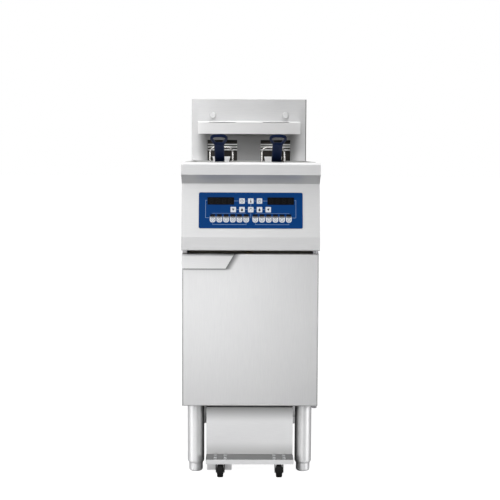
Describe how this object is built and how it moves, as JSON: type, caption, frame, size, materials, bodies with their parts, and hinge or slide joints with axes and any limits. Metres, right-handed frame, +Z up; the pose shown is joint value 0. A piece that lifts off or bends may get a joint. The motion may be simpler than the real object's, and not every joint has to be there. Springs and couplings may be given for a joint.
{
  "type": "electric deep fryer",
  "caption": "Floor-standing electric fryer: steel cabinet on legs, keypad panel, tank with lift-out baskets, riser with basket hanger, hinged door and a roll-out oil cart.",
  "frame": {"origin": "on the floor, under the middle of the whole fryer", "axes": "+Z up, front towards -Y, +X to the right of a person who faces the front"},
  "size_m": [0.396, 0.765, 1.128],
  "materials": {
    "stainless": "fine brushed stainless sheet",
    "overlay_blue": "printed polyester film",
    "display_black": "smoked display windows on a board",
    "key_white": "matte white keys",
    "grip_blue": "dipped vinyl",
    "basket_wire": "nickel plated wire",
    "element_sheath": "heat stained sheath",
    "valve_brass": "cast brass",
    "lever_red": "plated lever with a red dipped grip",
    "box_grey": "powder coat",
    "caster_black": "black painted fork",
    "tyre_black": "solid rubber",
    "zinc": "zinc plated"
  },
  "bodies": {
    "cabinet": {"left_side_panel": "stainless", "right_side_panel": "stainless", "rear_panel": "stainless", "base_frame": "stainless", "top_deck": "stainless", "control_fascia": "stainless", "keypad_overlay": "overlay_blue", "display_board": "display_black", "riser_shell": "stainless", "basket_hanger": "stainless", "hanger_thumbscrews": "stainless", "legs": "stainless", "fry_tank": "stainless", "temperature_probe": "stainless", "element_left": "element_sheath", "element_right": "element_sheath", "contactor_box": "box_grey", "drain_valve": "valve_brass", "door_hinges": "zinc"},
    "door": {"door_skin": "stainless", "door_liner": "stainless", "door_handle": "stainless"},
    "drain_lever": {"drain_lever": "lever_red"},
    "basket_left": {"basket_left": "basket_wire", "basket_grip_left": "grip_blue"},
    "basket_right": {"basket_right": "basket_wire", "basket_grip_right": "grip_blue"},
    "cart": {"cart_chassis": "stainless", "oil_pan": "stainless", "caster_mounts": "zinc"},
    "front_fork_left": {"front_fork_left": "caster_black"},
    "front_fork_right": {"front_fork_right": "caster_black"},
    "foot_front_left": {"foot_front_left": "stainless"},
    "wheel_front_left": {"wheel_front_left": "tyre_black"},
    "foot_front_right": {"foot_front_right": "stainless"},
    "wheel_front_right": {"wheel_front_right": "tyre_black"},
    "foot_rear_left": {"foot_rear_left": "stainless"},
    "wheel_rear_left": {"wheel_rear_left": "tyre_black"},
    "foot_rear_right": {"foot_rear_right": "stainless"},
    "wheel_rear_right": {"wheel_rear_right": "tyre_black"},
    "key_top_1": {"key_top_1": "key_white"},
    "key_top_2": {"key_top_2": "key_white"},
    "key_top_3": {"key_top_3": "key_white"},
    "key_middle_1": {"key_middle_1": "key_white"},
    "key_middle_2": {"key_middle_2": "key_white"},
    "key_middle_3": {"key_middle_3": "key_white"},
    "key_middle_4": {"key_middle_4": "key_white"},
    "key_middle_5": {"key_middle_5": "key_white"},
    "key_left_1": {"key_left_1": "key_white"},
    "key_left_2": {"key_left_2": "key_white"},
    "key_left_3": {"key_left_3": "key_white"},
    "key_left_4": {"key_left_4": "key_white"},
    "key_left_5": {"key_left_5": "key_white"},
    "key_left_6": {"key_left_6": "key_white"},
    "key_right_1": {"key_right_1": "key_white"},
    "key_right_2": {"key_right_2": "key_white"},
    "key_right_3": {"key_right_3": "key_white"},
    "key_right_4": {"key_right_4": "key_white"},
    "key_right_5": {"key_right_5": "key_white"},
    "key_right_6": {"key_right_6": "key_white"}
  },
  "joints": [
    {"name": "door_swing", "type": "hinge", "parent": "cabinet", "child": "door", "pos_m": [0.188, -0.3335, 0.431], "axis": [0, 0, 1], "range_deg": [0, 110]},
    {"name": "drain_lever_turn", "type": "hinge", "parent": "cabinet", "child": "drain_lever", "pos_m": [0, -0.3045, 0.522], "axis": [0, 1, 0], "range_deg": [0, 90]},
    {"name": "cart_slide", "type": "slide", "parent": "cabinet", "child": "cart", "axis": [0, -1, 0], "range_m": [0, 0.55]},
    {"name": "basket_left_lift", "type": "slide", "parent": "cabinet", "child": "basket_left", "axis": [0, 0, 1], "range_m": [0, 0.25]},
    {"name": "basket_right_lift", "type": "slide", "parent": "cabinet", "child": "basket_right", "axis": [0, 0, 1], "range_m": [0, 0.25]},
    {"name": "front_fork_left_swivel", "type": "hinge", "parent": "cart", "child": "front_fork_left", "pos_m": [-0.086, -0.344, 0.045], "axis": [0, 0, 1], "continuous": true},
    {"name": "wheel_front_left_spin", "type": "hinge", "parent": "front_fork_left", "child": "wheel_front_left", "pos_m": [-0.086, -0.358, 0.019], "axis": [1, 0, 0], "continuous": true},
    {"name": "wheel_rear_left_spin", "type": "hinge", "parent": "cart", "child": "wheel_rear_left", "pos_m": [-0.086, 0.2575, 0.019], "axis": [1, 0, 0], "continuous": true},
    {"name": "foot_front_left_turn", "type": "hinge", "parent": "cabinet", "child": "foot_front_left", "pos_m": [-0.1595, -0.2825, 0.012], "axis": [0, 0, 1], "continuous": true},
    {"name": "foot_rear_left_turn", "type": "hinge", "parent": "cabinet", "child": "foot_rear_left", "pos_m": [-0.1595, 0.3075, 0.012], "axis": [0, 0, 1], "continuous": true},
    {"name": "front_fork_right_swivel", "type": "hinge", "parent": "cart", "child": "front_fork_right", "pos_m": [0.086, -0.344, 0.045], "axis": [0, 0, 1], "continuous": true},
    {"name": "wheel_front_right_spin", "type": "hinge", "parent": "front_fork_right", "child": "wheel_front_right", "pos_m": [0.086, -0.358, 0.019], "axis": [1, 0, 0], "continuous": true},
    {"name": "wheel_rear_right_spin", "type": "hinge", "parent": "cart", "child": "wheel_rear_right", "pos_m": [0.086, 0.2575, 0.019], "axis": [1, 0, 0], "continuous": true},
    {"name": "foot_front_right_turn", "type": "hinge", "parent": "cabinet", "child": "foot_front_right", "pos_m": [0.1595, -0.2825, 0.012], "axis": [0, 0, 1], "continuous": true},
    {"name": "foot_rear_right_turn", "type": "hinge", "parent": "cabinet", "child": "foot_rear_right", "pos_m": [0.1595, 0.3075, 0.012], "axis": [0, 0, 1], "continuous": true},
    {"name": "key_top_1_press", "type": "slide", "parent": "cabinet", "child": "key_top_1", "axis": [0, 0.9759, -0.2183], "range_m": [0, 0.0005], "stiffness_N_per_m": 1500, "springref_m": -0.0005},
    {"name": "key_top_2_press", "type": "slide", "parent": "cabinet", "child": "key_top_2", "axis": [0, 0.9759, -0.2183], "range_m": [0, 0.0005], "stiffness_N_per_m": 1500, "springref_m": -0.0005},
    {"name": "key_top_3_press", "type": "slide", "parent": "cabinet", "child": "key_top_3", "axis": [0, 0.9759, -0.2183], "range_m": [0, 0.0005], "stiffness_N_per_m": 1500, "springref_m": -0.0005},
    {"name": "key_middle_1_press", "type": "slide", "parent": "cabinet", "child": "key_middle_1", "axis": [0, 0.9759, -0.2183], "range_m": [0, 0.0005], "stiffness_N_per_m": 1500, "springref_m": -0.0005},
    {"name": "key_middle_2_press", "type": "slide", "parent": "cabinet", "child": "key_middle_2", "axis": [0, 0.9759, -0.2183], "range_m": [0, 0.0005], "stiffness_N_per_m": 1500, "springref_m": -0.0005},
    {"name": "key_middle_3_press", "type": "slide", "parent": "cabinet", "child": "key_middle_3", "axis": [0, 0.9759, -0.2183], "range_m": [0, 0.0005], "stiffness_N_per_m": 1500, "springref_m": -0.0005},
    {"name": "key_middle_4_press", "type": "slide", "parent": "cabinet", "child": "key_middle_4", "axis": [0, 0.9759, -0.2183], "range_m": [0, 0.0005], "stiffness_N_per_m": 1500, "springref_m": -0.0005},
    {"name": "key_middle_5_press", "type": "slide", "parent": "cabinet", "child": "key_middle_5", "axis": [0, 0.9759, -0.2183], "range_m": [0, 0.0005], "stiffness_N_per_m": 1500, "springref_m": -0.0005},
    {"name": "key_left_1_press", "type": "slide", "parent": "cabinet", "child": "key_left_1", "axis": [0, 0.9759, -0.2183], "range_m": [0, 0.0005], "stiffness_N_per_m": 1500, "springref_m": -0.0005},
    {"name": "key_left_2_press", "type": "slide", "parent": "cabinet", "child": "key_left_2", "axis": [0, 0.9759, -0.2183], "range_m": [0, 0.0005], "stiffness_N_per_m": 1500, "springref_m": -0.0005},
    {"name": "key_left_3_press", "type": "slide", "parent": "cabinet", "child": "key_left_3", "axis": [0, 0.9759, -0.2183], "range_m": [0, 0.0005], "stiffness_N_per_m": 1500, "springref_m": -0.0005},
    {"name": "key_left_4_press", "type": "slide", "parent": "cabinet", "child": "key_left_4", "axis": [0, 0.9759, -0.2183], "range_m": [0, 0.0005], "stiffness_N_per_m": 1500, "springref_m": -0.0005},
    {"name": "key_left_5_press", "type": "slide", "parent": "cabinet", "child": "key_left_5", "axis": [0, 0.9759, -0.2183], "range_m": [0, 0.0005], "stiffness_N_per_m": 1500, "springref_m": -0.0005},
    {"name": "key_left_6_press", "type": "slide", "parent": "cabinet", "child": "key_left_6", "axis": [0, 0.9759, -0.2183], "range_m": [0, 0.0005], "stiffness_N_per_m": 1500, "springref_m": -0.0005},
    {"name": "key_right_1_press", "type": "slide", "parent": "cabinet", "child": "key_right_1", "axis": [0, 0.9759, -0.2183], "range_m": [0, 0.0005], "stiffness_N_per_m": 1500, "springref_m": -0.0005},
    {"name": "key_right_2_press", "type": "slide", "parent": "cabinet", "child": "key_right_2", "axis": [0, 0.9759, -0.2183], "range_m": [0, 0.0005], "stiffness_N_per_m": 1500, "springref_m": -0.0005},
    {"name": "key_right_3_press", "type": "slide", "parent": "cabinet", "child": "key_right_3", "axis": [0, 0.9759, -0.2183], "range_m": [0, 0.0005], "stiffness_N_per_m": 1500, "springref_m": -0.0005},
    {"name": "key_right_4_press", "type": "slide", "parent": "cabinet", "child": "key_right_4", "axis": [0, 0.9759, -0.2183], "range_m": [0, 0.0005], "stiffness_N_per_m": 1500, "springref_m": -0.0005},
    {"name": "key_right_5_press", "type": "slide", "parent": "cabinet", "child": "key_right_5", "axis": [0, 0.9759, -0.2183], "range_m": [0, 0.0005], "stiffness_N_per_m": 1500, "springref_m": -0.0005},
    {"name": "key_right_6_press", "type": "slide", "parent": "cabinet", "child": "key_right_6", "axis": [0, 0.9759, -0.2183], "range_m": [0, 0.0005], "stiffness_N_per_m": 1500, "springref_m": -0.0005}
  ]
}
